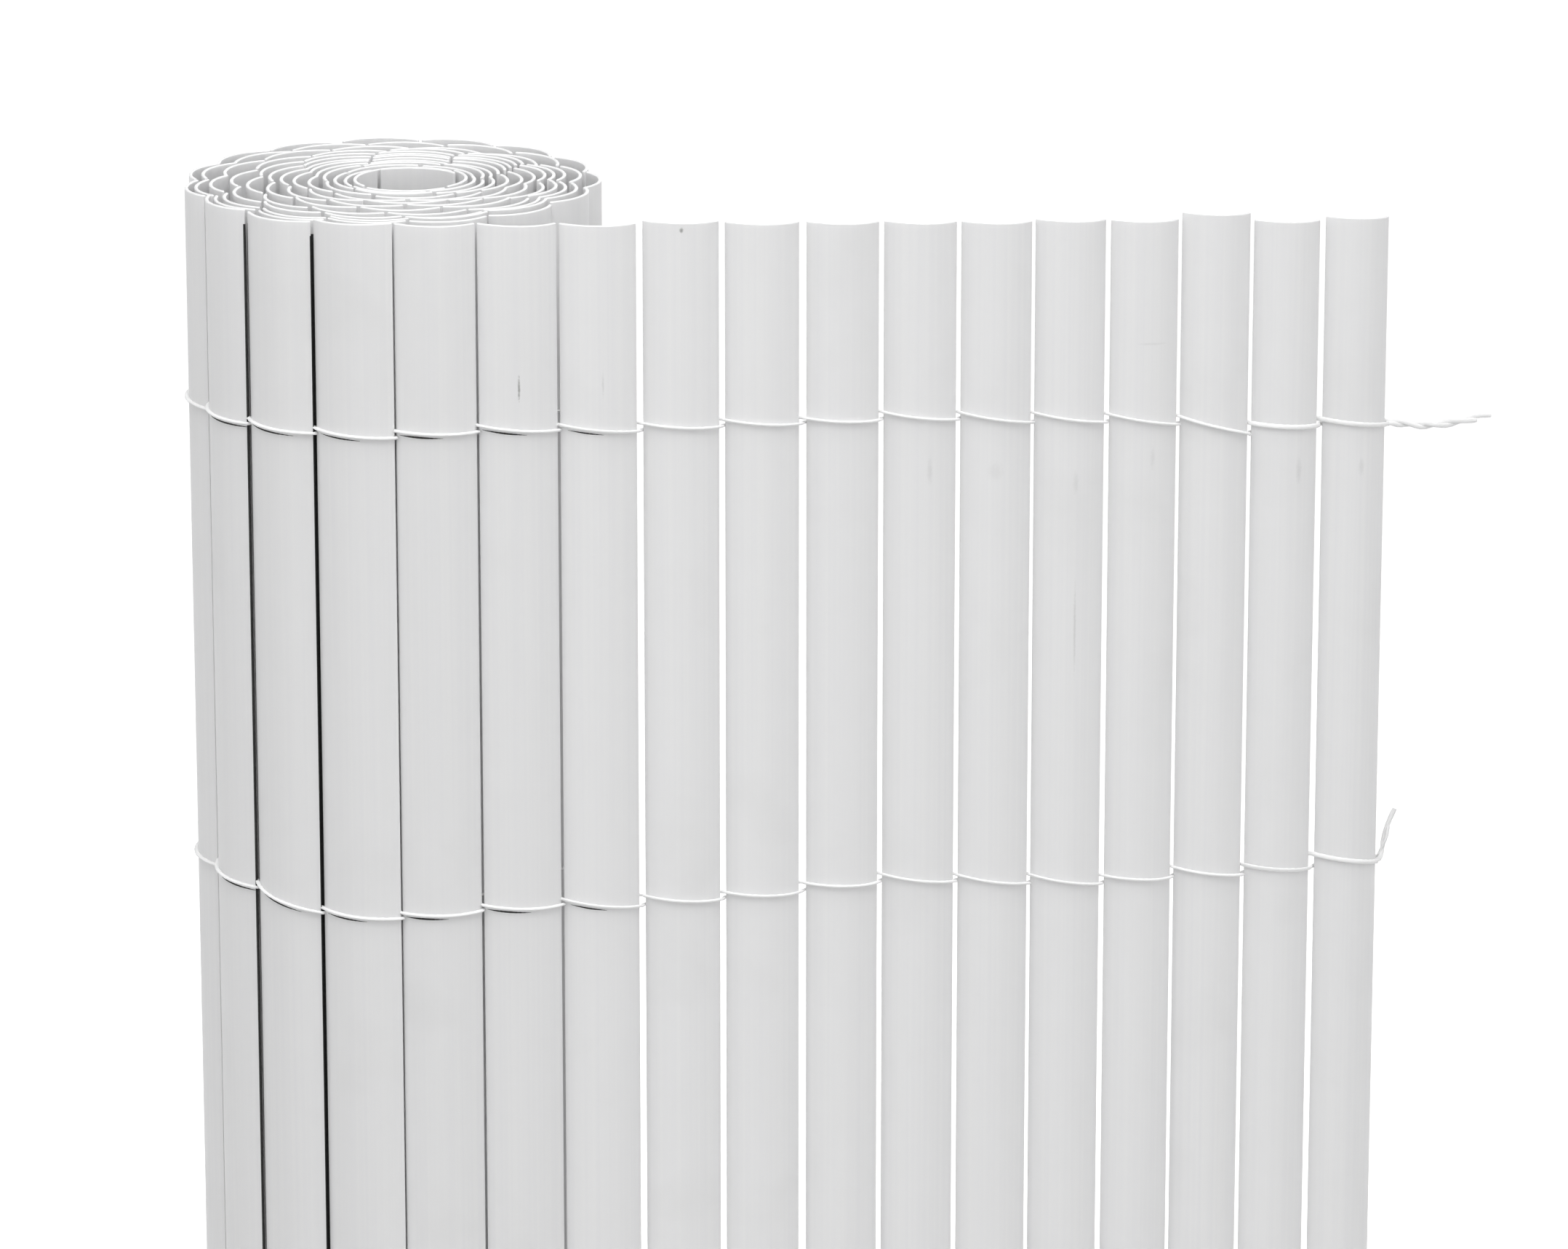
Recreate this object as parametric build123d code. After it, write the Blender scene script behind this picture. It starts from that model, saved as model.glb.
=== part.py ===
from build123d import *
import cmath
import math
import os

# A garden screen of half-round plastic slats twined together with rows of cord. It stands on end, mostly
# rolled up, with its free end drawn out to the right as a nearly flat panel. Lengths are in mm. Plan places
# are complex numbers, x + y * 1j. A slat's left and right are those seen from its outer, bulging side, and
# its heading points from its right tip to its left tip.

os.makedirs("parts", exist_ok=True)

# One slat
slat_length = 1000.0
slat_width = 19.0
slat_bow = 3.7
slat_wall = 0.8
cut_tolerance = 0.5

# The roll, wound from its core outward. The core turn is the most that one slat may turn from the one
# before, in degrees. The cords end one slat short of the outer turn's inner end, because the panel lies too
# close over that slat
roll_slats = 114
core_turn = 96.0
layer_gap = 0.9
tip_spread = 0.66
tip_tuck = 0.78
outer_turn_slats = 16
corded_roll_slats = 15
inner_flats = 4
inner_nodes = 11

# The cords: each row is two strands that pass the slats by turns in front and behind
row_count = 9
row_margin = 52.0
row_drop = 20.0
cord_thick = 0.6
cord_height = 1.2
cord_clearance = 0.06

# The panel, from the front of the roll to the free end, with each slat's lie, length and gap set by hand. It
# keeps a little of the roll's curl. Its gaps are this much wider than the cord needs. Its slats are this much
# shorter than the longest, and their tops are cut on a slope that falls this much in each mm to the right
free_slats = 11
panel_headings = [8.0, 13.9, 15.2, 16.4, 17.6, 18.7, 19.8, 20.8, 21.8, 22.7, 23.6, 24.4, 25.2]
panel_yaws = [0.0, 0.0, 1.0, -1.5, 0.5, 1.5, -1.0, 0.5, -1.0, 1.5, -1.5, 0.5, 3.0]
panel_cuts = [0.6, 1.6, 2.9, 4.3, 5.4, 7.3, 8.6, 10.3, 11.9, 12.2, 15.7, 17.5, 18.8]
panel_slopes = [0.04, 0.06, 0.065, 0.07, 0.075, 0.08, 0.085, 0.085, 0.09, 0.09, 0.095, 0.1, 0.11]
gap_slacks = [0.0, 0.1, 0.7, 0.6, 0.9, 0.4, 0.3, 0.1, 0.4, 0.1, 0.1, 0.8, 0.2]

# The section of a slat is a strip between two arcs about one centre
outer_radius = (slat_width**2 / 4 + slat_bow**2) / (2 * slat_bow)
inner_radius = outer_radius - slat_wall
mid_radius = outer_radius - slat_wall / 2
half_angle = math.asin(slat_width / 2 / outer_radius)
mid_chord = 2 * mid_radius * math.sin(half_angle)

# How far apart the middles of two tips are across each gap of the panel, and past its last slat
tip_slant = slat_wall * math.sin(half_angle)
panel_spreads = [cord_thick + 2 * cord_clearance + slack + tip_slant for slack in gap_slacks]
end_spread = panel_spreads[-1]


class Slat:
    """The plan place of one slat."""

    def __init__(self, left_tip, heading):
        self.heading = heading
        self.outward = heading * 1j
        self.left_tip = left_tip
        self.right_tip = left_tip - heading * mid_chord
        middle = (self.left_tip + self.right_tip) / 2
        self.centre = middle - self.outward * mid_radius * math.cos(half_angle)
        steps = 8
        angles = [half_angle * (2 * step / steps - 1) for step in range(steps + 1)]
        self.samples = [self.point(angle, mid_radius) for angle in angles]

    def point(self, angle, radius):
        """The place at this angle from the crest, positive to the right, and this far from the centre."""
        return self.centre + self.outward * radius * cmath.exp(1j * angle)

    def distance(self, place):
        """How far a place is from the middle of the wall."""
        reach = place - self.centre
        if abs(cmath.phase(reach / self.outward)) <= half_angle:
            return abs(abs(reach) - mid_radius)
        return min(abs(place - self.left_tip), abs(place - self.right_tip))


def next_left_tip(slat, spread, tuck):
    """Where the slat to the right starts: past the right tip, and tucked a little behind it."""
    return slat.right_tip - slat.heading * spread - slat.outward * tuck


def clearance(slat, others):
    """The least distance between the middles of this wall and of the others'."""
    own = slat.samples + [next_left_tip(slat, tip_spread, tip_tuck)]
    least = math.inf
    for other in others:
        least = min([least] + [other.distance(place) for place in own])
        least = min([least] + [slat.distance(place) for place in other.samples])
    return least


def wind_roll():
    """The slats of the roll, each turned inward until it lies on the turn below."""
    reach = 2 * slat_width + outer_radius
    back_turn = 40.0
    halvings = 20
    slats = [Slat(0j, 1 + 0j)]
    for _ in range(roll_slats - 1):
        start = next_left_tip(slats[-1], tip_spread, tip_tuck)
        near = [other for other in slats[:-1] if abs(other.centre - start) < reach]
        loose, tight = math.radians(-back_turn), math.radians(core_turn)
        for _ in range(halvings):
            turn = (loose + tight) / 2
            trial = Slat(start, slats[-1].heading * cmath.exp(1j * turn))
            if clearance(trial, near) >= slat_wall + layer_gap:
                loose = turn
            else:
                tight = turn
        slats.append(Slat(start, slats[-1].heading * cmath.exp(1j * loose)))
    return slats


def roll_centre(slats):
    """The middle of the outer turn."""
    outer = slats[-outer_turn_slats:]
    return sum(slat.left_tip + slat.right_tip for slat in outer) / (2 * len(outer))


def stand_roll(slats):
    """The same roll about the origin, with its last right tip at the front."""
    centre = roll_centre(slats)
    last_tip = slats[-1].right_tip - centre
    turn = -1j * abs(last_tip) / last_tip
    return [Slat((slat.left_tip - centre) * turn, slat.heading * turn) for slat in slats]


def draw_panel(last):
    """The slats that run from the front of the roll to the free end, at the right."""
    slats = []
    start = next_left_tip(last, tip_spread, tip_tuck)
    for heading, yaw, spread in zip(panel_headings, panel_yaws, panel_spreads):
        line = -cmath.exp(1j * math.radians(heading))
        slat = Slat(start, -cmath.exp(1j * math.radians(heading + yaw)))
        slats.append(slat)
        start = slat.right_tip - line * spread
    return slats


def uneven(number):
    """A repeatable share from 0 to 1 that differs from slat to slat."""
    return (math.sin(number * 12.9898) * 43758.5453) % 1


def slat_solid(slat, length, flats=0):
    """One slat, stood on the ground. With a number of flats, it has that many in place of its arcs."""
    def place(angle, radius):
        spot = slat.point(angle, radius)
        return Vector(spot.real, spot.imag, 0)

    steps = flats or 2
    angles = [half_angle * (2 * step / steps - 1) for step in range(steps + 1)]
    outer = [place(angle, outer_radius) for angle in angles]
    inner = [place(angle, inner_radius) for angle in reversed(angles)]
    if flats:
        outline = Wire.make_polygon(outer + inner, close=True)
    else:
        outline = Wire([
            Edge.make_three_point_arc(*outer),
            Edge.make_line(outer[-1], inner[0]),
            Edge.make_three_point_arc(*inner),
            Edge.make_line(inner[-1], outer[0]),
        ])
    return extrude(Face(outline), amount=length, dir=(0, 0, 1))


def sloped_slat(slat, length, slope):
    """One slat whose top falls to the right. Its length is that of its crest."""
    crest = slat.point(0, outer_radius)
    fall = -slat.heading * slope
    cut = Plane(origin=(crest.real, crest.imag, length), z_dir=(fall.real, fall.imag, 1))
    return split(slat_solid(slat, length + slope * slat_width), bisect_by=cut, keep=Keep.BOTTOM).solid()


def crossing(place_a, way_a, place_b, way_b):
    """Where two lines in plan meet."""
    share = ((place_b - place_a) * way_b.conjugate()).imag / (way_a * way_b.conjugate()).imag
    return place_a + way_a * share


# A strand in front of a panel slat is three straight runs that touch its outer face, at the crest and at two
# thirds of the way to each tip. On the roll it is drawn taut from slat to slat
touch_radius = outer_radius + cord_clearance + cord_thick / 2
corner_angle = half_angle / 3
corner_radius = touch_radius / math.cos(corner_angle)
panel_touch = 2 * corner_angle
back_depth = slat_wall / 2 * math.cos(half_angle) + 2 * cord_clearance + cord_thick / 2

# The two strands of a row pass through a gap one above the other
strand_rise = cord_height / 2 + 2 * cord_clearance


def touch_line(slat, angle):
    """A run of a strand: where it touches the slat, at this angle from the crest, and its way."""
    return slat.point(angle, touch_radius), slat.outward * 1j * cmath.exp(1j * angle)


def gap_middle(right_slat, left_slat):
    return (right_slat.left_tip + left_slat.right_tip) / 2


def gap_way(right_slat, left_slat):
    """Straight outward between two slats."""
    way = right_slat.outward + left_slat.outward
    return way / abs(way)


def front_gap(slat, angle, middle, way):
    """Where a strand in front of a slat reaches the gap beside it."""
    place, run = touch_line(slat, angle)
    return crossing(place, run, middle, way)


def ribbon(points):
    """A flat cord along these points, each a plan place and a height of its middle."""
    places = [place for place, _ in points]
    ways = [(b - a) / abs(b - a) for a, b in zip(places, places[1:])]
    sides = []
    for index in range(len(places)):
        before = ways[max(index - 1, 0)] * 1j
        after = ways[min(index, len(ways) - 1)] * 1j
        sides.append((before + after) / (1 + (before * after.conjugate()).real) * cord_thick / 2)

    def corner(index, side, level):
        spot = places[index] + side * sides[index]
        return (spot.real, spot.imag, points[index][1] + level * cord_height / 2)

    faces = []
    for start in range(len(points) - 1):
        end = start + 1
        for side in (-1, 1):
            lower = [corner(start, side, -1), corner(end, side, -1)]
            upper = [corner(end, side, 1), corner(start, side, 1)]
            faces.append(lower + upper)
        for level in (-1, 1):
            faces.append([corner(start, -1, level), corner(end, -1, level), corner(end, 1, level)])
            faces.append([corner(start, -1, level), corner(end, 1, level), corner(start, 1, level)])
    for index in (0, len(points) - 1):
        faces.append([corner(index, -1, -1), corner(index, 1, -1), corner(index, 1, 1), corner(index, -1, 1)])
    return Solid(Shell([Face(Wire.make_polygon(face, close=True)) for face in faces]))


# Each tail's points by hand: how far right of the end slat, how far forward and how far up
tail_points = {
    0: [(5.0, 0.6, -0.6), (10.0, 0.5, -1.4), (16.5, 0.6, 0.2), (24.0, 0.5, 2.0)],
    1: [(2.4, 0.6, 0.4), (3.4, 0.6, 4.0), (4.0, 0.6, 7.5), (5.6, 0.6, 12.5)],
}
plain_tail = [(6.0, 0.6, -0.6), (13.0, 0.5, -1.6), (20.0, 0.6, -2.2)]

# How far the first rows lie above their level at each gap, by hand, from the free end on to the roll
row_rises = {
    0: [-20.6, -17.2, -15.8, -11.0, -8.9, -6.8, -4.8, -2.9, -2.6, -1.3, -0.3, 1.1, 1.1, 0.5, 1.2, 0.6],
    1: [-21.8, -17.5, -17.1, -14.5, -13.7, -10.7, -8.1, -5.8, -6.3, -5.1, -3.9, -2.6, -3.7, -4.8, -4.1, -1.0],
}


def row_level(row):
    spacing = (slat_length - 2 * row_margin) / (row_count - 1)
    return slat_length - row_margin - row * spacing


def gap_level(row, gap):
    """The height of a row at a gap, counted from the free end."""
    if row in row_rises:
        rises = row_rises[row]
        return row_level(row) + rises[min(gap, len(rises) - 1)]
    return row_level(row) - row_drop * max(1 - gap / free_slats, 0)


def tail(row, end_slat, forward):
    """The loose end of a strand, from its tip to the end slat."""
    middle = end_slat.right_tip - end_slat.heading * end_spread / 2
    points = []
    for right, front, up in reversed(tail_points.get(row, plain_tail)):
        place = middle - end_slat.heading * right + end_slat.outward * front * forward
        points.append((place, gap_level(row, 0) + up - forward * strand_rise))
    return points


def pass_front(slat, right_end, left_end, right_level, left_level):
    """The points of a strand in front of a slat, from right to left."""
    inner = [slat.point(corner_angle, corner_radius), slat.point(-corner_angle, corner_radius)]
    places = [right_end] + inner + [left_end]
    step = (left_level - right_level) / (len(places) - 1)
    return [(place, right_level + step * index) for index, place in enumerate(places)]


def strand(row, front_first):
    """A strand along the free slats: in front of one, behind the next."""
    end_middle = free[0].right_tip - free[0].heading * end_spread / 2
    gaps = [(end_middle, free[0].outward)]
    gaps += [(gap_middle(a, b), gap_way(a, b)) for a, b in zip(free, free[1:] + held[:1])]
    forward = 1 if front_first else -1
    points = tail(row, free[0], forward)
    for index, slat in enumerate(free):
        right, left = gaps[index], gaps[index + 1]
        if (index % 2 == 0) == front_first:
            low = gap_level(row, index) - strand_rise
            high = gap_level(row, index + 1) + strand_rise
            right_end = front_gap(slat, panel_touch, *right)
            left_end = front_gap(slat, -panel_touch, *left)
            points += pass_front(slat, right_end, left_end, low, high)
        else:
            high = gap_level(row, index) + strand_rise
            low = gap_level(row, index + 1) - strand_rise
            points.append((right[0] - right[1] * back_depth, high))
            points.append((left[0] - left[1] * back_depth, low))
    return points


def taut_normal(right_slat, left_slat):
    """Straight outward from a taut run over two slats. The run lies along the centres of their arcs."""
    way = left_slat.centre - right_slat.centre
    return way / abs(way) * 1j


def around(row):
    """The outer strand over the slats that lie on the roll, from the crest of the last free one inward."""
    slats = free[-1:] + held
    normals = [free[-1].outward] + [taut_normal(*pair) for pair in zip(slats, slats[1:])]
    points = []
    for index, slat in enumerate(slats[:-1]):
        before, after = normals[index], normals[index + 1]
        half_turn = cmath.phase(after / before) / 2
        corner = before * cmath.exp(1j * half_turn) * touch_radius / math.cos(half_turn)
        points.append((slat.centre + corner, gap_level(row, free_slats + index)))
    points.append((slats[-1].centre + normals[-1] * touch_radius, points[-1][1]))
    return points


roll = stand_roll(wind_roll())
panel = draw_panel(roll[-1])
free_end_first = panel[::-1]
free = free_end_first[:free_slats]
held = free_end_first[free_slats:] + roll[::-1][:corded_roll_slats]

parts = {}
for index, slat in enumerate(free_end_first):
    place = len(panel) - 1 - index
    length = slat_length - panel_cuts[place]
    parts[f"panel_slat_{index + 1:02d}"] = [sloped_slat(slat, length, panel_slopes[place])]

outer_first = roll[::-1]
for index, slat in enumerate(outer_first[:outer_turn_slats]):
    length = slat_length - cut_tolerance * uneven(index)
    parts[f"outer_turn_slat_{index + 1:02d}"] = [slat_solid(slat, length)]

# The inner slats are shared out among their nodes by how far each has gone round the roll, so that a node
# holds about one turn
inner = outer_first[outer_turn_slats:]
sweeps = [abs(cmath.phase(slat.left_tip / slat.right_tip)) for slat in inner]
for index, slat in enumerate(inner):
    turn = int(sum(sweeps[:index]) / sum(sweeps) * inner_nodes) + 2
    length = slat_length - cut_tolerance * uneven(index + outer_turn_slats)
    solid = slat_solid(slat, length, inner_flats)
    parts.setdefault(f"turn_{turn:02d}_slats", []).append(solid)

for row in range(row_count):
    parts[f"cord_row_{row + 1}_strand_a"] = [ribbon(strand(row, True)[:-2] + around(row))]
    parts[f"cord_row_{row + 1}_strand_b"] = [ribbon(strand(row, False))]

everything = Compound([solid for solids in parts.values() for solid in solids])
box = everything.bounding_box()
shift = Vector(-(box.min.X + box.max.X) / 2, -(box.min.Y + box.max.Y) / 2, 0)

for name, solids in parts.items():
    moved = [solid.moved(Location(shift)) for solid in solids]
    export_step(moved[0] if len(moved) == 1 else Compound(moved), f"parts/{name}.step")
print(f"{len(parts)} nodes, {sum(len(solids) for solids in parts.values())} solids")
print(f"size {box.size.X:.1f} x {box.size.Y:.1f} x {box.size.Z:.1f}, shift {shift.X:.2f}, {shift.Y:.2f}")
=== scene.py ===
import cmath
import math

import bpy
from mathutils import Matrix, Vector


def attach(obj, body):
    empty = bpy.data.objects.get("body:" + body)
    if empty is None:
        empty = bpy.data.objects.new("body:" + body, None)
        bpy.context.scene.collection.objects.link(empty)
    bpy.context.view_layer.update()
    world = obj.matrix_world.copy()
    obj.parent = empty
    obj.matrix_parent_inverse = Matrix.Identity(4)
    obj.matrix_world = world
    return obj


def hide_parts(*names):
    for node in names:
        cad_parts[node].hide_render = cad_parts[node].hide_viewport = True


# The garden screen: slats of white PVC twined with rows of cord, stood on end as a roll with its free end
# drawn out. Lengths are in metres. Plan places are complex numbers, x + y * 1j. A slat's left and right are
# those seen from its outer, bulging side, and the slats are counted from the free end on into the roll.

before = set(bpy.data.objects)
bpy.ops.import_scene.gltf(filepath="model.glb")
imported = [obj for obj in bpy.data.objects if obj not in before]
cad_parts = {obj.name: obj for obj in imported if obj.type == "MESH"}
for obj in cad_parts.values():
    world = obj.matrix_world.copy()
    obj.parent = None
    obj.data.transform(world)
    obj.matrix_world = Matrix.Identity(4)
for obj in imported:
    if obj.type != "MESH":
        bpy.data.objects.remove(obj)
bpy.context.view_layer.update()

mm = 0.001

# The slats. Their width, bow and wall come from the frame. A rounded tip has points at these angles, in
# degrees. No slat is quite straight: each sways sideways along its height, and starts its wave at a place
# of its own. The map step, in mm, keeps the map places of the slats apart
tip_rounding = 0.25 * mm
tip_angles = (90, 60, 30)
cut_bevel = 0.2 * mm
sway = 0.12 * mm
sway_height = 0.5
sway_starts = 6
map_step = 50.0
slat_sharp_angle = math.radians(30)
panel_slats = 13
outer_turn_slats = 16
corded_roll_slats = 15
free_slats = 11

# Painted shade in two joints of the roll: a near-black colour on both slats there and on the slat behind,
# which stands for the shade in those narrow gaps: the slat's number, how far across its face from -1 at
# the left tip to 1 at the right one, and the lowest share of its height. It stops short of the top, and at a
# tip it covers these faces of the outline, counted from the tip's middle
joint_shade_bands = [(14, -1, 0.0), (15, 1, 0.0), (30, 0.75, 0.0), (15, -1, 0.4), (16, 1, 0.4), (31, 0.9, 0.4)]
shade_top = 0.9965
shade_tip_faces = range(-4, 2)

# The steps across a slat's face and the shares of its height where it has rings, for a slat of the panel
# or the outer turn and for one further in
outer_arc_steps = 18
outer_heights = [0.1, 0.25, 0.4, 0.55, 0.7, 0.85, 0.95, shade_top]
inner_arc_steps = 12
inner_heights = [0.4, shade_top]

# Painted shadow on a slat under the strand in front of it, a thin dark ridge: from which share of the
# slat's width to which, from the right. It lies this far below the strand's middle. Its thickness and half
# its height are those of its middle, and at its ends it has this share of them. Its foot lies a share of
# its thickness inside the slat
cord_shadow_spans = {
    11: (0.5, 0.93), 12: (0.45, 0.95), 13: (0.45, 0.94), 14: (0.4, 0.94), 15: (0.2, 0.9), 16: (0.0, 0.7)}
cord_shadow_drop = 0.95 * mm
cord_shadow_thick = 0.12 * mm
cord_shadow_half_height = 0.25 * mm
cord_shadow_end = 0.1
cord_shadow_foot = -0.3
cord_shadow_steps = 12

# Joints that lie closer than the CAD's even ones: the slat on the joint's right, and how much closer
closer_joints = {11: 0.4 * mm, 12: 0.5 * mm, 13: 0.45 * mm, 15: 0.3 * mm}

# Slats of the panel whose tops were cut higher or lower than the CAD has them: the slat's number, and how
# much
top_trims = {3: 1.95 * mm, 4: -1.35 * mm, 5: 0.3 * mm, 8: 0.3 * mm, 10: 0.65 * mm}

# The places of the finishes in the lists of materials of a slat and of a row of cord
skin_finish = 0
cut_finish = 1
# The near-black painted shade in the roll's joints
shade_finish = 2
twine_finish = 0
# The near-black painted shadow under the cords
cord_shadow_finish = 1

# The cords, each a flattened two-ply twine. Where two strands cross, each lies this rise above or below
# their middle level
row_count = 9
cord_half_thick = 0.36 * mm
cord_half_height = 0.6 * mm
cord_gap = 0.06 * mm
strand_rise = 0.72 * mm
plies = 2
ply_pitch = 4.2 * mm
ply_relief = 0.1
around_cord = 10
cord_sharp_angle = math.radians(60)

# A strand's way past one slat: its steps, and the share of the slat's half angle that it spans in front
# of the slat and inside the roll. It leaves the end slat this far past its tip
pass_steps = 12
front_span = 1.04
inside_span = 0.9
end_reach = 0.8 * mm

# Each tail's points, in mm: how far right of the end slat and how far up. Its strands lie this
# far from the tail's middle, a quarter of a turn further at each point
tail_points = {
    1: [(2.0, -0.4), (5.0, -1.0), (8.5, -1.8), (12.0, -2.4), (16.0, -2.8), (20.0, -2.9), (24.5, -2.8),
        (28.5, -2.6), (32.5, -2.3)],
    2: [(1.4, 0.2), (2.4, 2.2), (3.2, 5.0), (4.2, 8.5), (5.6, 12.5)],
}
plain_tail = [(2.0, -0.2), (5.0, -0.6), (9.0, -1.1), (13.0, -1.6), (17.0, -2.0), (21.0, -2.2)]
tail_apart = 0.62 * mm
tail_twist = math.radians(90)

# How far the upper and the lower strand of the first rows hang below the CAD's level where they cross, in
# mm, at each gap from the free end on into the roll
strand_drops = {
    1: [(-0.5, -0.7), (0.2, 0.3), (0.3, 1.7), (1.2, 2.0), (0.6, 1.3), (0.4, 1.5), (0.3, 0.7), (0.3, 0.8),
        (0.25, 0.1), (0.1, 0.3), (0.45, 0.9), (0.55, 0.45), (-0.7, -0.6), (-0.9, -0.7), (0.0, -0.15),
        (-0.3, -0.5)],
    2: [(-0.6, -0.8), (-0.2, 2.0), (0.1, 1.3), (0.6, 1.8), (0.9, 1.6), (1.1, 2.0), (1.2, 1.5), (1.0, 1.6),
        (0.4, 1.1), (1.7, 1.9), (1.8, 2.9), (1.9, 1.75), (0.5, 0.35), (0.1, -0.05), (0.7, 0.5), (0.6, 0.5)],
}

# In the CAD, how many corners of a cord lie at its crossing in a gap, and how many over a slat's crest
crossing_corners = 8
crest_corners = 4

# The small marks on the panel, in mm: the slat's number, how far right of its middle and how high up,
# half the mark's width and height, and how dark it is
marks = [
    (12, -0.4, 960.0, 0.35, 3.2, 0.9),
    (10, -0.8, 995.3, 0.5, 0.7, 1.0),
    (11, 0.2, 959.5, 0.3, 3.0, 0.2),
    (7, 1.3, 931.5, 0.8, 3.5, 0.15),
    (6, -1.5, 929.5, 2.2, 2.6, 0.09),
    (5, 0.3, 924.5, 0.8, 3.0, 0.14),
    (4, 1.0, 928.5, 0.7, 3.0, 0.12),
    (4, 0.8, 957.0, 4.5, 0.35, 0.13),
    (2, 2.5, 921.0, 1.0, 3.6, 0.16),
    (1, 0.2, 919.5, 1.0, 2.4, 0.14),
    (5, 0.4, 888.0, 0.4, 12.0, 0.25),
]


def uneven(number):
    """A repeatable share from 0 to 1 that differs from one number to the next."""
    return (math.sin(number * 12.9898) * 43758.5453) % 1


class Slat:
    """The plan place of a slat, and its top, read from one solid of the CAD. Its outer tips are the two
    corners that lie furthest apart, and its crest is the corner furthest from the line between them."""

    def __init__(self, corners):
        tops = {}
        for x, y, z in corners:
            tops[complex(x, y)] = max(z, tops.get(complex(x, y), 0.0))
        plan = list(tops)
        width, a, b = max(((abs(p - q), p, q) for p in plan for q in plan), key=lambda pair: pair[0])
        along = (b - a) / width
        crest = max(plan, key=lambda p: abs(((p - a) * along.conjugate()).imag))
        bow = ((crest - a) * along.conjugate()).imag
        self.outward = along * 1j * math.copysign(1, bow)
        self.heading = self.outward / 1j
        self.left, self.right = (b, a) if bow > 0 else (a, b)
        self.left_top, self.right_top = tops[self.left], tops[self.right]
        self.wall = min(abs(p - self.left) for p in plan if p != self.left)
        bow = abs(bow)
        self.radius = (width**2 / 4 + bow**2) / (2 * bow)
        self.half_angle = math.asin(width / 2 / self.radius)
        self.centre = (a + b) / 2 + self.outward * (bow - self.radius)

    def point(self, angle, radius):
        """The place at this angle from the crest, positive to the right, this far from the arcs' centre."""
        return self.centre + self.outward * radius * cmath.exp(1j * angle)

    def top_at(self, place):
        """The height of the cut top at a plan place."""
        across = self.left - self.right
        share = ((self.left - place) * across.conjugate()).real / abs(across) ** 2
        return self.left_top + (self.right_top - self.left_top) * share

    def raise_top(self, rise):
        self.left_top += rise
        self.right_top += rise

    def tip(self, side):
        """The middle of the wall at a tip: side 1 is the right one."""
        return self.point(side * self.half_angle, self.radius - self.wall / 2)


def slats_of(node):
    """The slats in a CAD node, one for each separate solid in its mesh. Places that are joined by faces have
    one leader, which stands for their solid."""
    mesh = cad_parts[node].data
    spot = [tuple(round(value, 6) for value in vertex.co) for vertex in mesh.vertices]
    leader = {place: place for place in spot}

    def lead(place):
        while leader[place] != place:
            place = leader[place]
        return place

    for face in mesh.polygons:
        first = lead(spot[face.vertices[0]])
        for corner in face.vertices[1:]:
            leader[lead(spot[corner])] = first
    solids = {}
    for place in leader:
        solids.setdefault(lead(place), []).append(place)
    return [Slat(corners) for corners in solids.values()]


def section(slat, arc_steps):
    """The outline of a slat's wall: each point's arc length from the crest and its depth in from the face."""
    half = slat.radius * slat.half_angle
    across = half - tip_rounding
    corner = [math.radians(degrees) for degrees in tip_angles]
    left = [(-across - tip_rounding * math.sin(a), tip_rounding * (1 - math.cos(a))) for a in corner]
    face = [(across * (2 * step / arc_steps - 1), 0.0) for step in range(arc_steps + 1)]
    right = [(-along, depth) for along, depth in reversed(left)]
    outer = left + face + right
    return outer + [(along, slat.wall - depth) for along, depth in reversed(outer)]


class Mesh:
    """Gathers the vertices, faces, map places and finishes of one piece."""

    def __init__(self):
        self.vertices, self.faces, self.map_places, self.finishes = [], [], [], []

    def face(self, corners, places, finish):
        self.faces.append(corners)
        self.map_places += places
        self.finishes.append(finish)

    def piece(self, name, materials, sharp_angle):
        data = bpy.data.meshes.new(name)
        data.from_pydata(self.vertices, [], self.faces)
        layer = data.uv_layers.new(name="millimetres")
        layer.data.foreach_set("uv", [value for place in self.map_places for value in place])
        data.polygons.foreach_set("material_index", self.finishes)
        data.polygons.foreach_set("use_smooth", [True] * len(self.faces))
        for material in materials:
            data.materials.append(material)
        data.set_sharp_from_angle(angle=sharp_angle)
        data.update()
        piece = bpy.data.objects.new(name, data)
        bpy.context.scene.collection.objects.link(piece)
        return piece


def reach_out(outline, number, across):
    """The same outline with its tips, which lie past this far across, moved out to joints that lie closer."""
    left_reach = closer_joints.get(number, 0.0) / 2
    right_reach = closer_joints.get(number - 1, 0.0) / 2
    reached = []
    for along, depth in outline:
        if along < -across:
            along -= left_reach
        if along > across:
            along += right_reach
        reached.append((along, depth))
    return reached


def shaded_faces(number, count, arc_steps):
    """The faces of a slat's outline that get the painted joint shade, each with the share of the height where
    it begins.
    """
    shade = {}
    for slat_number, place, low in joint_shade_bands:
        if slat_number == number and abs(place) == 1:
            tip = count // 2 if place == 1 else count
            shade |= {(tip + k) % count: low for k in shade_tip_faces}
        elif slat_number == number:
            shade[len(tip_angles) + int((place + 1) / 2 * arc_steps)] = low
    return shade


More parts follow.
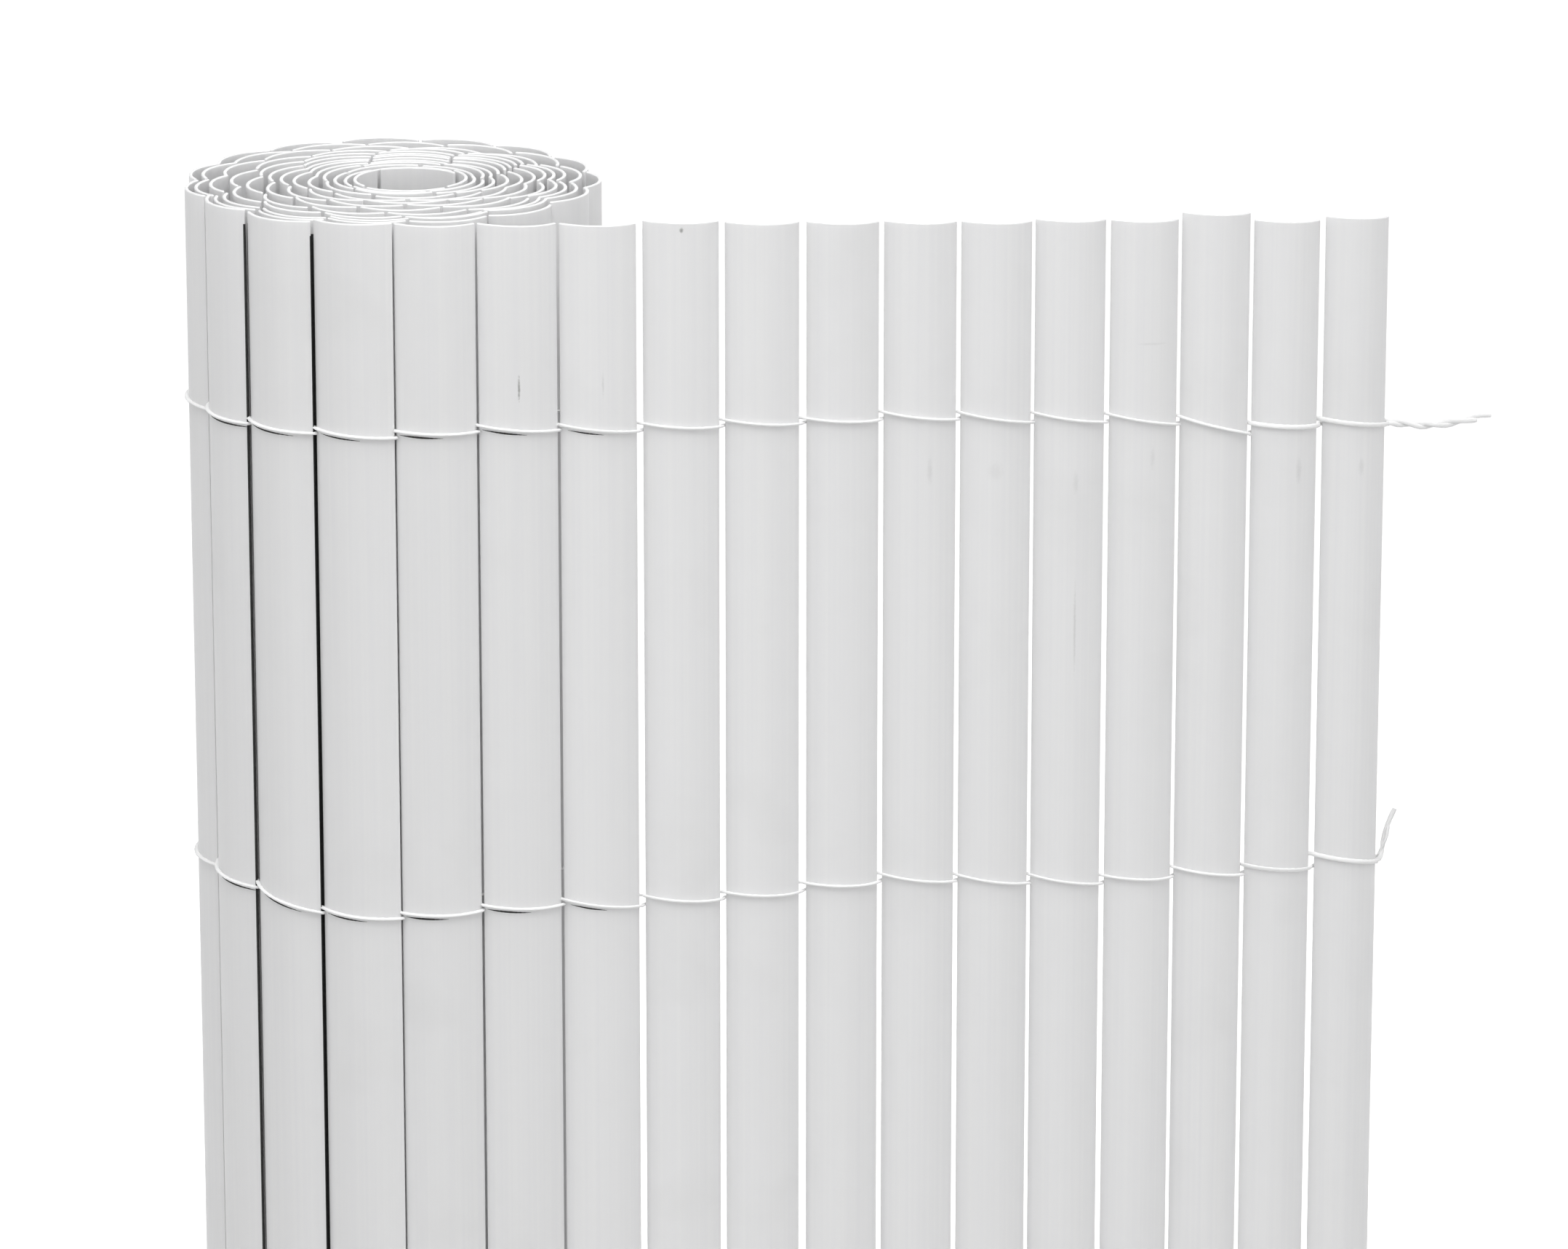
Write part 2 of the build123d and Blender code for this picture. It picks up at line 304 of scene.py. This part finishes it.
def add_slat(mesh, slat, number, arc_steps, heights):
    """One slat: a ring of its outline at each height, with its cut ends bevelled."""
    middle = slat.wall / 2
    half = slat.radius * slat.half_angle
    outline = reach_out(section(slat, arc_steps), number, half - tip_rounding)
    count = len(outline)
    run = [0.0]
    for a, b in zip(outline, outline[1:] + outline[:1]):
        run.append(run[-1] + math.hypot(b[0] - a[0], b[1] - a[1]))
    offset = number * map_step
    start = len(mesh.vertices)
    shade = shaded_faces(number, count, arc_steps)

    # Each ring: its share of the slat's height, how far above that it lies, and how far in
    rings = [(0.0, 0.0, cut_bevel), (0.0, cut_bevel, 0.0)] + [(share, 0.0, 0.0) for share in heights]
    rings += [(1.0, -cut_bevel, 0.0), (1.0, 0.0, cut_bevel)]
    levels = [share * slat.left_top + above for share, above, _ in rings]
    own_sway = sway * (2 * uneven(number + 0.5) - 1)
    for share, above, inset in rings:
        bend = own_sway * math.sin(share / sway_height + sway_starts * uneven(number))
        for along, depth in outline:
            along = along * (1 - inset / half)
            depth = middle + (depth - middle) * (1 - inset / middle)
            place = slat.point(along / slat.radius, slat.radius - depth) + slat.heading * bend
            mesh.vertices.append((place.real, place.imag, share * slat.top_at(place) + above))
    for ring in range(len(levels) - 1):
        low, high = levels[ring] / mm, levels[ring + 1] / mm
        for k in range(count):
            after = (k + 1) % count
            first = start + ring * count
            u, v = offset + run[k] / mm, offset + run[k + 1] / mm
            corners = [first + k, first + after, first + count + after, first + count + k]
            # Faces in the roll's shaded joints take the near-black painted shade
            shaded = k in shade and shade[k] <= rings[ring][0] < shade_top
            finish = shade_finish if shaded else skin_finish
            mesh.face(corners, [(u, low), (v, low), (v, high), (u, high)], finish)
    for ring, top in ((0, False), (len(levels) - 1, True)):
        first = start + ring * count
        for k in range(count // 2 - 1):
            corners = [k, k + 1, count - 2 - k, count - 1 - k]
            places = [(offset + outline[c][0] / mm, outline[c][1] / mm) for c in corners]
            if not top:
                corners, places = corners[::-1], places[::-1]
            mesh.face([first + c for c in corners], places, cut_finish)


# The cords

def gap_middle(right_slat, left_slat):
    return (right_slat.tip(-1) + left_slat.tip(1)) / 2


def row_vertices(row):
    found = set()
    for strand in "ab":
        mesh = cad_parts[f"cord_row_{row}_strand_{strand}"].data
        found |= {tuple(round(value, 6) for value in vertex.co) for vertex in mesh.vertices}
    return found


def nearest_height(vertices, place, count):
    """The mean height of the CAD cord's corners that lie nearest to a plan place."""
    near = sorted(vertices, key=lambda vertex: abs(complex(vertex[0], vertex[1]) - place))[:count]
    return sum(vertex[2] for vertex in near) / count


def gap_heights(row, slats):
    """The height of a row at each slat's right side, then past the last slat."""
    vertices = row_vertices(row)
    crests = [slat.point(0, slat.radius) for slat in slats]
    ends = [slats[0].tip(1)] + [gap_middle(a, b) for a, b in zip(slats, slats[1:])]
    panel = [nearest_height(vertices, end, crossing_corners) for end in ends[:free_slats]]
    held = [nearest_height(vertices, crest, crest_corners) for crest in crests[free_slats - 1:-1]]
    return panel + held + held[-1:]


def crossing_levels(row, slats):
    """The heights of a row's lower and upper strand at each slat's right side, then past the last slat."""
    drops = strand_drops.get(row, [])
    levels = []
    for gap, height in enumerate(gap_heights(row, slats)):
        upper_drop, lower_drop = drops[gap] if gap < len(drops) else (0.0, 0.0)
        levels.append((height - strand_rise - lower_drop * mm, height + strand_rise - upper_drop * mm))
    return levels


def rounded(points):
    """The same path with its corners cut off."""
    path = [points[0]]
    for a, b in zip(points, points[1:]):
        path += [a.lerp(b, 0.25), a.lerp(b, 0.75)]
    return path + [points[-1]]


def at(place, height):
    return Vector((place.real, place.imag, height))


def cord_path(row, slats, phase):
    """A strand from the tip of its tail, in front of one slat and behind the next, into the roll."""
    levels = crossing_levels(row, slats)
    end = slats[0]
    end_level = sum(levels[0]) / 2
    points = []
    tail = tail_points.get(row, plain_tail)
    for step in reversed(range(len(tail) - phase)):
        right, up = tail[step]
        turned = tail_twist * (step + 2 * phase)
        place = end.tip(1) - end.heading * right * mm + end.outward * tail_apart * math.cos(turned)
        points.append(at(place, end_level + up * mm - tail_apart * math.sin(turned)))
    ends = [end.tip(1) - end.heading * end_reach] + [gap_middle(a, b) for a, b in zip(slats, slats[1:])]
    shares = [step / pass_steps for step in range(pass_steps + 1)]
    over = cord_half_thick + cord_gap
    for index, slat in enumerate(slats):
        front = index % 2 == phase
        first = levels[index][0 if front else 1]
        last = levels[index + 1][1 if front else 0]
        if index > 0 or front:
            points.append(at(ends[index], first))
        if front:
            angles = [slat.half_angle * front_span * (1 - 2 * share) for share in shares]
            places = [slat.point(angle, slat.radius + over) for angle in angles]
        elif index < free_slats:
            back = slat.outward * (slat.wall / 2 + over)
            places = [slat.tip(1) - back + (slat.tip(-1) - slat.tip(1)) * share for share in shares]
        else:
            angles = [slat.half_angle * inside_span * (1 - 2 * share) for share in shares]
            places = [slat.point(angle, slat.radius - slat.wall - over) for angle in angles]
        points += [at(place, first + (last - first) * share) for place, share in zip(places, shares)]
    return rounded(points)


def add_cord(mesh, path):
    """A flattened tube of two plies twisted together along a path."""
    start = len(mesh.vertices)
    ways = [(b - a).normalized() for a, b in zip(path, path[1:])]
    ways.append(ways[-1])
    out = ways[0].cross(Vector((0, 0, 1))).normalized()
    length = 0.0
    lengths = []
    for index, (place, way) in enumerate(zip(path, ways)):
        if index:
            length += (place - path[index - 1]).length
        lengths.append(length)
        out = (out - way * out.dot(way)).normalized()
        up = out.cross(way)
        for k in range(around_cord):
            angle = 2 * math.pi * k / around_cord
            ply = 1 + ply_relief * math.cos(plies * (angle - 2 * math.pi * length / ply_pitch))
            outward = out * math.cos(angle) * cord_half_thick
            upward = up * math.sin(angle) * cord_half_height
            mesh.vertices.append(tuple(place + (outward + upward) * ply))
    girth = 2 * math.pi * cord_half_height / mm
    for ring in range(len(path) - 1):
        low, high = lengths[ring] / mm, lengths[ring + 1] / mm
        for k in range(around_cord):
            after = (k + 1) % around_cord
            first = start + ring * around_cord
            u, v = girth * k / around_cord, girth * (k + 1) / around_cord
            corners = [first + k, first + around_cord + k, first + around_cord + after, first + after]
            mesh.face(corners, [(u, low), (u, high), (v, high), (v, low)], twine_finish)
    for ring in (0, len(path) - 1):
        corners = [start + ring * around_cord + k for k in range(around_cord)]
        if ring > 0:
            corners = corners[::-1]
        mesh.face(corners, [(0.0, lengths[ring] / mm)] * around_cord, twine_finish)


def add_cord_shadow(mesh, slat, right_level, left_level, span):
    """Painted shadow under a strand in front of a slat: a low dark ridge on its face that thins out to both
    ends. Its section is a triangle, with its foot in the face."""
    start = len(mesh.vertices)
    steps = cord_shadow_steps
    ridge = [(cord_shadow_foot, -1), (1, 0), (cord_shadow_foot, 1)]
    count = len(ridge)
    for step in range(steps + 1):
        share = span[0] + (span[1] - span[0]) * step / steps
        size = cord_shadow_end + (1 - cord_shadow_end) * math.sin(math.pi * step / steps)
        angle = slat.half_angle * front_span * (1 - 2 * share)
        middle = right_level + (left_level - right_level) * share - cord_shadow_drop
        for out, level in ridge:
            place = slat.point(angle, slat.radius + out * cord_shadow_thick * size)
            mesh.vertices.append((place.real, place.imag, middle + level * cord_shadow_half_height * size))
    for step in range(steps):
        for k in range(count):
            after = (k + 1) % count
            first = start + step * count
            corners = [first + k, first + after, first + count + after, first + count + k]
            places = [(k, step), (k + 1, step), (k + 1, step + 1), (k, step + 1)]
            mesh.face(corners, places, cord_shadow_finish)
    last = start + steps * count
    mesh.face([start, start + 2, start + 1], [(0, 0), (2, 0), (1, 0)], cord_shadow_finish)
    mesh.face([last, last + 1, last + 2], [(0, steps), (1, steps), (2, steps)], cord_shadow_finish)


# The finishes

def linear(hex_colour):
    """An sRGB hex colour as linear light."""
    shares = [int(hex_colour[k:k + 2], 16) / 255 for k in (0, 2, 4)]
    return [c / 12.92 if c <= 0.04045 else ((c + 0.055) / 1.055) ** 2.4 for c in shares] + [1.0]


def add_node(tree, kind, inputs=None, **settings):
    """Adds a node with its settings. An input that is a socket is linked, and any other is a value."""
    node = tree.nodes.new(kind)
    for name, value in settings.items():
        setattr(node, name, value)
    for name, value in (inputs or {}).items():
        if isinstance(value, bpy.types.NodeSocket):
            tree.links.new(value, node.inputs[name])
        else:
            node.inputs[name].default_value = value
    return node


def new_material(name):
    material = bpy.data.materials.new(name)
    material.use_nodes = True
    material.node_tree.nodes.clear()
    return material, material.node_tree


def make_extruded_pvc(face_middle):
    """White PVC pulled through a die: satin, with faint draw lines down each slat, a few dull smudges and the
    small marks. The middle of a slat's face lies this far across its map."""
    material, tree = new_material("extruded_white_pvc")
    place = add_node(tree, "ShaderNodeUVMap", uv_map="millimetres").outputs["UV"]
    stretched = add_node(tree, "ShaderNodeMapping", {
        "Vector": place, "Scale": (1.0, 0.004, 1.0)}).outputs["Vector"]
    lines = add_node(tree, "ShaderNodeTexNoise", {
        "Vector": stretched, "Scale": 0.9, "Detail": 3.0}).outputs["Fac"]
    cloud = add_node(tree, "ShaderNodeTexNoise", {
        "Vector": place, "Scale": 0.03, "Detail": 4.0}).outputs["Fac"]
    tone = add_node(tree, "ShaderNodeMapRange", {
        "Value": lines, "From Min": 0.3, "From Max": 0.7, "To Min": 0.0, "To Max": 1.0}).outputs["Result"]
    base = add_node(tree, "ShaderNodeMix", {
        "Factor": tone, "A": linear("E2E2E3"), "B": linear("E5E5E5")}, data_type="RGBA")
    dull = add_node(tree, "ShaderNodeMapRange", {
        "Value": cloud, "From Min": 0.58, "From Max": 0.78, "To Min": 0.0, "To Max": 0.5}).outputs["Result"]
    colour = add_node(tree, "ShaderNodeMix", {
        "Factor": dull, "A": base.outputs["Result"], "B": linear("DCDCDC")}, data_type="RGBA")
    ragged = add_node(tree, "ShaderNodeTexNoise", {
        "Vector": place, "Scale": 1.5, "Detail": 2.0}).outputs["Fac"]
    marked = None
    for number, right, height, half_width, half_height, darkness in marks:
        middle = (number * map_step + face_middle + right, height, 0.0)
        away = add_node(tree, "ShaderNodeVectorMath", {
            0: place, 1: middle}, operation="SUBTRACT").outputs["Vector"]
        away = add_node(tree, "ShaderNodeVectorMath", {
            0: away, 1: (1 / half_width, 1 / half_height, 0.0)}, operation="MULTIPLY").outputs["Vector"]
        away = add_node(tree, "ShaderNodeVectorMath", {0: away}, operation="LENGTH").outputs["Value"]
        away = add_node(tree, "ShaderNodeMath", {0: away, 1: ragged}, operation="ADD").outputs[0]
        spot = add_node(tree, "ShaderNodeMapRange", {
            "Value": away, "From Min": 0.8, "From Max": 1.6, "To Min": darkness,
            "To Max": 0.0}).outputs["Result"]
        if marked is None:
            marked = spot
        else:
            marked = add_node(tree, "ShaderNodeMath", {0: marked, 1: spot}, operation="MAXIMUM").outputs[0]
    colour = add_node(tree, "ShaderNodeMix", {
        "Factor": marked, "A": colour.outputs["Result"], "B": linear("9A9A98")}, data_type="RGBA")
    rough = add_node(tree, "ShaderNodeMapRange", {
        "Value": cloud, "From Min": 0.3, "From Max": 0.7, "To Min": 0.42, "To Max": 0.52}).outputs["Result"]
    bump = add_node(tree, "ShaderNodeBump", {
        "Height": lines, "Strength": 0.15, "Distance": 0.05 * mm}).outputs["Normal"]
    shader = add_node(tree, "ShaderNodeBsdfPrincipled", {
        "Base Color": colour.outputs["Result"], "Roughness": rough, "Normal": bump, "IOR": 1.53,
        "Subsurface Weight": 0.35, "Subsurface Radius": (1.0, 1.0, 1.0), "Subsurface Scale": 1.5 * mm})
    add_node(tree, "ShaderNodeOutputMaterial", {"Surface": shader.outputs["BSDF"]})
    return material


def make_cut_pvc():
    """The same PVC where a saw cut it: matt and grainy, since the smooth skin is gone."""
    material, tree = new_material("sawn_white_pvc")
    place = add_node(tree, "ShaderNodeUVMap", uv_map="millimetres").outputs["UV"]
    grain = add_node(tree, "ShaderNodeTexNoise", {
        "Vector": place, "Scale": 3.0, "Detail": 3.0}).outputs["Fac"]
    bump = add_node(tree, "ShaderNodeBump", {
        "Height": grain, "Strength": 0.3, "Distance": 0.05 * mm}).outputs["Normal"]
    shader = add_node(tree, "ShaderNodeBsdfPrincipled", {
        "Base Color": linear("DCDCDC"), "Roughness": 0.6, "Normal": bump, "IOR": 1.53})
    add_node(tree, "ShaderNodeOutputMaterial", {"Surface": shader.outputs["BSDF"]})
    return material


def make_painted_shade():
    """Painted shade in the roll's joints and painted shadow under the cords: matt, nearly black, and grainy.
    """
    material, tree = new_material("painted_dark_shade")
    place = add_node(tree, "ShaderNodeUVMap", uv_map="millimetres").outputs["UV"]
    grain = add_node(tree, "ShaderNodeTexNoise", {
        "Vector": place, "Scale": 1.2, "Detail": 4.0}).outputs["Fac"]
    colour = add_node(tree, "ShaderNodeMix", {
        "Factor": grain, "A": linear("101010"), "B": linear("3A3A39")}, data_type="RGBA")
    shader = add_node(tree, "ShaderNodeBsdfPrincipled", {
        "Base Color": colour.outputs["Result"], "Roughness": 0.9, "IOR": 1.5})
    add_node(tree, "ShaderNodeOutputMaterial", {"Surface": shader.outputs["BSDF"]})
    return material


def make_twine():
    """White polyester twine: bright and soft, with fine fibres that run slantwise round it."""
    material, tree = new_material("white_polyester_twine")
    place = add_node(tree, "ShaderNodeUVMap", uv_map="millimetres").outputs["UV"]
    slant = add_node(tree, "ShaderNodeMapping", {
        "Vector": place, "Rotation": (0.0, 0.0, math.radians(35)),
        "Scale": (1.0, 0.15, 1.0)}).outputs["Vector"]
    fibre = add_node(tree, "ShaderNodeTexNoise", {
        "Vector": slant, "Scale": 4.0, "Detail": 3.0}).outputs["Fac"]
    colour = add_node(tree, "ShaderNodeMix", {
        "Factor": fibre, "A": linear("E8E8E8"), "B": linear("F6F6F6")}, data_type="RGBA")
    bump = add_node(tree, "ShaderNodeBump", {
        "Height": fibre, "Strength": 0.5, "Distance": 0.1 * mm}).outputs["Normal"]
    shader = add_node(tree, "ShaderNodeBsdfPrincipled", {
        "Base Color": colour.outputs["Result"], "Roughness": 0.75, "Normal": bump, "IOR": 1.57,
        "Sheen Weight": 0.2, "Sheen Roughness": 0.5})
    add_node(tree, "ShaderNodeOutputMaterial", {"Surface": shader.outputs["BSDF"]})
    return material


def seen_directly(tree):
    """1 for a ray from the camera, off a shiny face or through glass, and 0 for one that lights the scene."""
    ray = add_node(tree, "ShaderNodeLightPath")
    seen = add_node(tree, "ShaderNodeMath", {
        0: ray.outputs["Is Camera Ray"], 1: ray.outputs["Is Glossy Ray"]}, operation="MAXIMUM")
    return add_node(tree, "ShaderNodeMath", {
        0: seen.outputs[0], 1: ray.outputs["Is Transmission Ray"]}, operation="MAXIMUM").outputs[0]


def make_floor_finish():
    """Pale studio floor: white to the camera, and a little less bright of itself near the screen, so that the
    screen's soft shadow shows."""
    material, tree = new_material("pale_studio_floor")
    place = add_node(tree, "ShaderNodeTexCoord").outputs["Object"]
    away = add_node(tree, "ShaderNodeVectorMath", {0: place}, operation="LENGTH").outputs["Value"]
    level = add_node(tree, "ShaderNodeMapRange", {
        "Value": away, "From Min": shadow_reach, "From Max": white_reach,
        "To Min": near_glow, "To Max": far_glow}).outputs["Result"]
    shown = add_node(tree, "ShaderNodeMath", {0: seen_directly(tree), 1: level}, operation="MULTIPLY")
    glow = add_node(tree, "ShaderNodeEmission", {"Color": linear("FFFFFF"), "Strength": shown.outputs[0]})
    paint = add_node(tree, "ShaderNodeBsdfDiffuse", {"Color": linear("EEEEEE")})
    both = add_node(tree, "ShaderNodeAddShader", {0: paint.outputs["BSDF"], 1: glow.outputs["Emission"]})
    add_node(tree, "ShaderNodeOutputMaterial", {"Surface": both.outputs["Shader"]})
    return material


# Building the pieces

first_slat = slats_of("panel_slat_01")[0]
extruded_pvc = make_extruded_pvc(first_slat.radius * first_slat.half_angle / mm)
cut_pvc = make_cut_pvc()
painted_shade = make_painted_shade()
twine = make_twine()

# Each slat of the panel and of the outer turn has a node of its own, and each further turn has one for
# all its slats
single_nodes = [f"panel_slat_{number:02d}" for number in range(1, panel_slats + 1)]
single_nodes += [f"outer_turn_slat_{number:02d}" for number in range(1, outer_turn_slats + 1)]
turn_nodes = sorted(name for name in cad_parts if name.startswith("turn_"))

outer_slats = []
number = 0
for node in single_nodes + turn_nodes:
    single = node in single_nodes
    found = slats_of(node)
    if single:
        outer_slats += found
    mesh = Mesh()
    for slat in found:
        number += 1
        slat.raise_top(top_trims.get(number, 0.0))
        if single:
            add_slat(mesh, slat, number, outer_arc_steps, outer_heights)
        else:
            add_slat(mesh, slat, number, inner_arc_steps, inner_heights)
    # A slat with faces in a shaded joint also gets the near-black painted shade
    materials = [extruded_pvc, cut_pvc] + ([painted_shade] if shade_finish in mesh.finishes else [])
    piece = mesh.piece(f"{node}_strip" if single else f"{node}_strips", materials, slat_sharp_angle)
    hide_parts(node)
    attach(piece, "root")

corded = outer_slats[:panel_slats + corded_roll_slats]
for row in range(1, row_count + 1):
    mesh = Mesh()
    for phase in (0, 1):
        add_cord(mesh, cord_path(row, corded, phase))
    levels = crossing_levels(row, corded)
    # Painted shadows: a thin dark ridge under the strand in front of some slats
    for number, span in cord_shadow_spans.items():
        add_cord_shadow(mesh, corded[number - 1], levels[number - 1][0], levels[number][1], span)
    piece = mesh.piece(f"twined_cord_row_{row}", [twine, painted_shade], cord_sharp_angle)
    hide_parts(f"cord_row_{row}_strand_a", f"cord_row_{row}_strand_b")
    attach(piece, "root")

# The studio. The floor glows of itself, less within the shadow's reach of the screen and more beyond the
# white reach. Each softbox: its place, size and power. The room level is what the white room gives to
# light the scene
floor_edge = 6.0
shadow_reach = 0.5
white_reach = 1.6
near_glow = 0.4
far_glow = 0.7
screen_middle = (0.0, 0.0, 0.7)
softboxes = {
    "front_left_softbox": ((-2.3, -1.5, 1.9), 1.4, 13.5),
    "front_right_softbox": ((2.5, -1.6, 1.7), 1.4, 13.5),
    "rear_softbox": ((0.9, 2.6, 1.9), 1.6, 14.0),
    "overhead_softbox": ((0.0, -0.6, 2.5), 1.6, 30.0),
}
room_level = 0.39

floor_mesh = bpy.data.meshes.new("studio_floor")
corners = [(-floor_edge, -floor_edge, 0), (floor_edge, -floor_edge, 0), (floor_edge, floor_edge, 0),
           (-floor_edge, floor_edge, 0)]
floor_mesh.from_pydata(corners, [], [(0, 1, 2, 3)])
floor_mesh.materials.append(make_floor_finish())
floor = bpy.data.objects.new("studio_floor", floor_mesh)
bpy.context.scene.collection.objects.link(floor)


def add_softbox(name, place, size, power):
    lamp = bpy.data.lights.new(name, "AREA")
    lamp.shape = "SQUARE"
    lamp.size = size
    lamp.energy = power
    holder = bpy.data.objects.new(name, lamp)
    holder.location = place
    holder.rotation_euler = (Vector(screen_middle) - Vector(place)).to_track_quat("-Z", "Y").to_euler()
    bpy.context.scene.collection.objects.link(holder)


for name, (place, size, power) in softboxes.items():
    add_softbox(name, place, size, power)

world = bpy.data.worlds.new("studio")
world.use_nodes = True
world.node_tree.nodes.clear()
bpy.context.scene.world = world
room_tree = world.node_tree
level = add_node(room_tree, "ShaderNodeMapRange", {
    "Value": seen_directly(room_tree), "To Min": room_level, "To Max": 1.0}).outputs["Result"]
room = add_node(room_tree, "ShaderNodeBackground", {"Color": linear("FFFFFF"), "Strength": level})
add_node(room_tree, "ShaderNodeOutputWorld", {"Surface": room.outputs["Background"]})

# The camera, found by matching the slats' edges in the photograph, which is 2156 pixels wide. It looks
# down by the pitch and a little to the right by the turn, both in radians
photo_width = 2156
focal_pixels = 10576
camera_place = (-0.1108, -1.8023, 1.3821)
camera_pitch = 0.267
camera_turn = -0.0534
camera_data = bpy.data.cameras.new("photo_camera")
camera_data.sensor_width = 36.0
camera_data.lens = camera_data.sensor_width * focal_pixels / photo_width
camera_data.clip_end = 100.0
camera = bpy.data.objects.new("photo_camera", camera_data)
camera.location = camera_place
camera.rotation_euler = (math.pi / 2 - camera_pitch, 0.0, camera_turn)
bpy.context.scene.collection.objects.link(camera)
bpy.context.scene.camera = camera

bpy.context.scene.view_settings.view_transform = "Standard"
